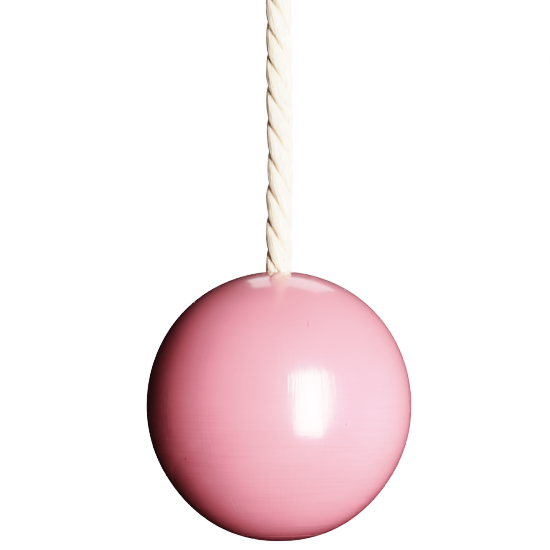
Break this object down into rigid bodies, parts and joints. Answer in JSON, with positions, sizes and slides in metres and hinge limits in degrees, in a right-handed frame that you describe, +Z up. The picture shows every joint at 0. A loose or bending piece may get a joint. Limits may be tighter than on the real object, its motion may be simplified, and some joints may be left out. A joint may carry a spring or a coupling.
{
  "type": "tetherball",
  "caption": "Painted wooden ball hung on a twisted cotton rope, knotted inside the ball, with a seized eye, thimble and swivel bolt snap at the rope's upper end.",
  "frame": {"origin": "the point inside the top of the hook that bears on whatever the snap is clipped to", "axes": "+Z up, against the pull of the hanging ball; +X from the hook's spine towards its bolt; +Y away from the viewer, through the hook"},
  "size_m": [0.08, 0.08, 0.3317],
  "materials": {
    "painted_wood": "turned hardwood under pink gloss enamel, with faint turning lines and small nibs",
    "cotton_rope": "natural three-strand cotton, soft and matt",
    "waxed_twine": "waxed flax twine, slight sheen",
    "nickel_plate": "nickel plate, polished over a casting",
    "zinc_plate": "bright zinc plate, lightly dulled"
  },
  "bodies": {
    "snap": {"snap_body": "nickel_plate"},
    "bolt": {"snap_bolt": "nickel_plate", "thumb_stud": "nickel_plate", "bolt_spring": "zinc_plate"},
    "swivel": {"swivel_eye": "nickel_plate"},
    "eye": {"thimble": "zinc_plate", "rope_eye": "cotton_rope", "eye_seizing": "waxed_twine", "tail_whipping": "waxed_twine"},
    "line": {"rope_line": "cotton_rope", "rope_core": "cotton_rope", "stopper_knot": "cotton_rope", "rope_stub": "cotton_rope", "knot_whipping": "waxed_twine"},
    "washer": {"knot_washer": "zinc_plate"},
    "ball": {"ball": "painted_wood", "ball_plug": "painted_wood"}
  },
  "joints": [
    {"name": "bolt_slide", "type": "slide", "parent": "snap", "child": "bolt", "axis": [0, 0, -1], "range_m": [0, 0.007], "stiffness_N_per_m": 400, "springref_m": -0.006, "deforming": ["bolt_spring"]},
    {"name": "swivel_spin", "type": "hinge", "parent": "snap", "child": "swivel", "pos_m": [0, 0, -0.0525], "axis": [0, 0, 1], "continuous": true},
    {"name": "eye_swing", "type": "hinge", "parent": "swivel", "child": "eye", "pos_m": [0, 0, -0.0792], "axis": [0, 1, 0], "range_deg": [-60, 60]},
    {"name": "rope_bend", "type": "hinge", "parent": "eye", "child": "line", "pos_m": [0, 0, -0.1624], "axis": [1, 0, 0], "range_deg": [-75, 75], "deforming": ["rope_line"]},
    {"name": "ball_turn", "type": "hinge", "parent": "line", "child": "washer", "pos_m": [0, 0, -0.286], "axis": [0, 0, 1], "continuous": true},
    {"name": "ball_lift", "type": "slide", "parent": "washer", "child": "ball", "axis": [0, 0, 1], "range_m": [0, 0.003]}
  ]
}
